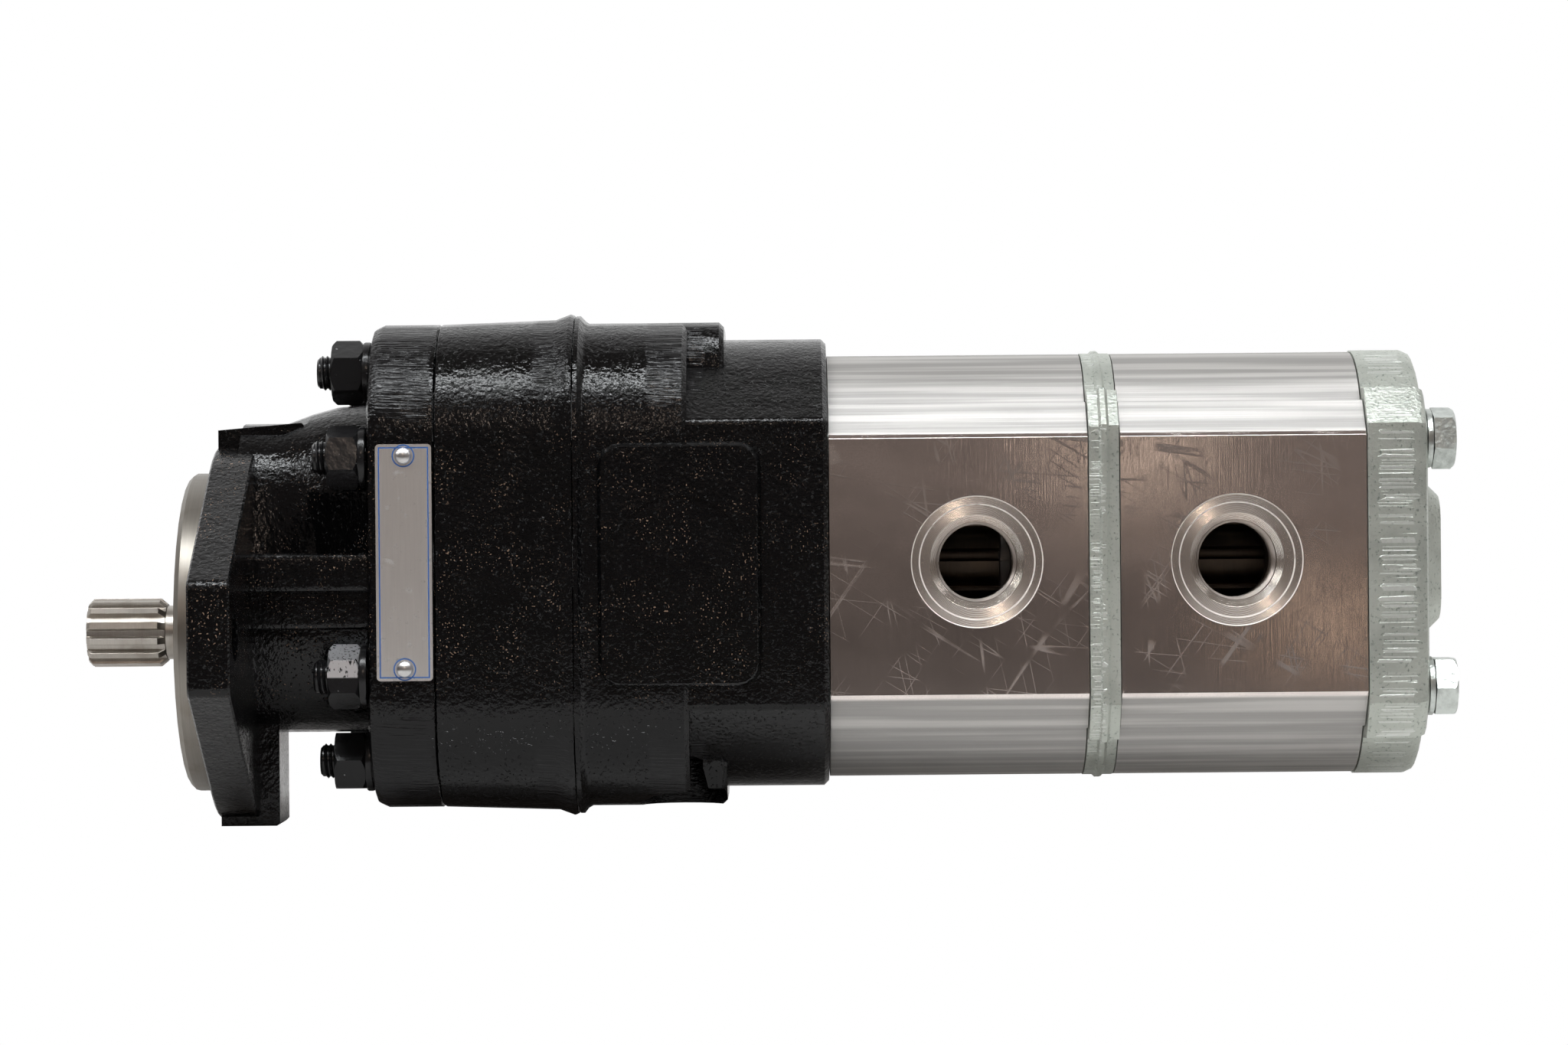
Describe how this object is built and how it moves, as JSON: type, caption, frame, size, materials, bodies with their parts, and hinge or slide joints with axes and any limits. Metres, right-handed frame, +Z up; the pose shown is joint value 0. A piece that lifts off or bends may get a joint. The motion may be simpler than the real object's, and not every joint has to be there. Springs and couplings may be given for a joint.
{
  "type": "hydraulic gear pump",
  "caption": "Tandem hydraulic gear pump with a splined shaft, two-ear flange, cast iron front section and aluminium rear sections on long tie bolts.",
  "frame": {"origin": "centre of the drive shaft's end face", "axes": "+X along the shaft into the pump, +Z up from the drive gears to the driven gears, -Y out of the pressure ports of the aluminium sections"},
  "size_m": [0.4319, 0.174, 0.1614],
  "materials": {
    "black_cast_iron": "gloss black paint over sand-cast iron, with machined faces bare",
    "extruded_aluminium": "extruded, with brushed chamfers and faint scratches",
    "plated_casting": "pale grey-green plating over a fine casting",
    "ground_steel": "ground and oiled",
    "painted_steel": "gloss black paint",
    "zinc_plated_steel": "zinc plated, satin",
    "bearing_bronze": "turned",
    "seal_rubber": "matt black",
    "plate_aluminium": "satin sheet, unprinted"
  },
  "bodies": {
    "housing": {"front_cover": "black_cast_iron", "gear_housing": "black_cast_iron", "rear_cover": "black_cast_iron", "body_1": "extruded_aluminium", "spacer_plate": "plated_casting", "body_2": "extruded_aluminium", "end_cover": "plated_casting", "front_thrust_plate": "bearing_bronze", "rear_thrust_plate": "bearing_bronze", "front_drive_bush": "bearing_bronze", "front_driven_bush": "bearing_bronze", "rear_drive_bush": "bearing_bronze", "rear_driven_bush": "bearing_bronze", "front_bearing_block_2": "extruded_aluminium", "rear_bearing_block_2": "extruded_aluminium", "front_bearing_block_3": "extruded_aluminium", "rear_bearing_block_3": "extruded_aluminium", "shaft_seal": "seal_rubber", "seal_retaining_ring": "ground_steel", "housing_front_seal": "seal_rubber", "housing_rear_seal": "seal_rubber", "body_1_front_seal": "seal_rubber", "body_1_rear_seal": "seal_rubber", "body_2_front_seal": "seal_rubber", "body_2_rear_seal": "seal_rubber", "stud_1": "painted_steel", "stud_2": "painted_steel", "stud_3": "painted_steel", "stud_4": "painted_steel", "stud_5": "painted_steel", "stud_6": "painted_steel", "stud_7": "painted_steel", "stud_8": "painted_steel", "stud_nut_1": "painted_steel", "stud_nut_2": "painted_steel", "stud_nut_3": "painted_steel", "stud_nut_4": "painted_steel", "stud_nut_5": "painted_steel", "stud_nut_6": "painted_steel", "stud_nut_7": "painted_steel", "stud_nut_8": "painted_steel", "tie_bolt_1": "zinc_plated_steel", "tie_bolt_2": "zinc_plated_steel", "tie_bolt_3": "zinc_plated_steel", "tie_bolt_4": "zinc_plated_steel", "tie_washer_1": "zinc_plated_steel", "tie_washer_2": "zinc_plated_steel", "tie_washer_3": "zinc_plated_steel", "tie_washer_4": "zinc_plated_steel", "data_plate": "plate_aluminium", "data_plate_rivet_1": "plate_aluminium", "data_plate_rivet_2": "plate_aluminium"},
    "drive_train": {"drive_shaft": "ground_steel", "drive_gear_2": "ground_steel", "drive_gear_3": "ground_steel", "coupling_1": "ground_steel", "coupling_2": "ground_steel"},
    "front_driven": {"front_driven_gear": "ground_steel"},
    "section_2_driven": {"driven_gear_2": "ground_steel"},
    "section_3_driven": {"driven_gear_3": "ground_steel"}
  },
  "joints": [
    {"name": "drive_spin", "type": "hinge", "parent": "housing", "child": "drive_train", "pos_m": [0, 0, 0], "axis": [1, 0, 0], "continuous": true},
    {"name": "front_driven_spin", "type": "hinge", "parent": "housing", "child": "front_driven", "pos_m": [0.136, 0, 0.0415], "axis": [1, 0, 0], "continuous": true},
    {"name": "section_2_driven_spin", "type": "hinge", "parent": "housing", "child": "section_2_driven", "pos_m": [0.2767, 0, 0.0415], "axis": [1, 0, 0], "continuous": true},
    {"name": "section_3_driven_spin", "type": "hinge", "parent": "housing", "child": "section_3_driven", "pos_m": [0.3651, 0, 0.0415], "axis": [1, 0, 0], "continuous": true}
  ],
  "couplings": [
    {"joint": "front_driven_spin", "follows": "drive_spin", "ratio": -1},
    {"joint": "section_2_driven_spin", "follows": "drive_spin", "ratio": -1},
    {"joint": "section_3_driven_spin", "follows": "drive_spin", "ratio": -1}
  ]
}
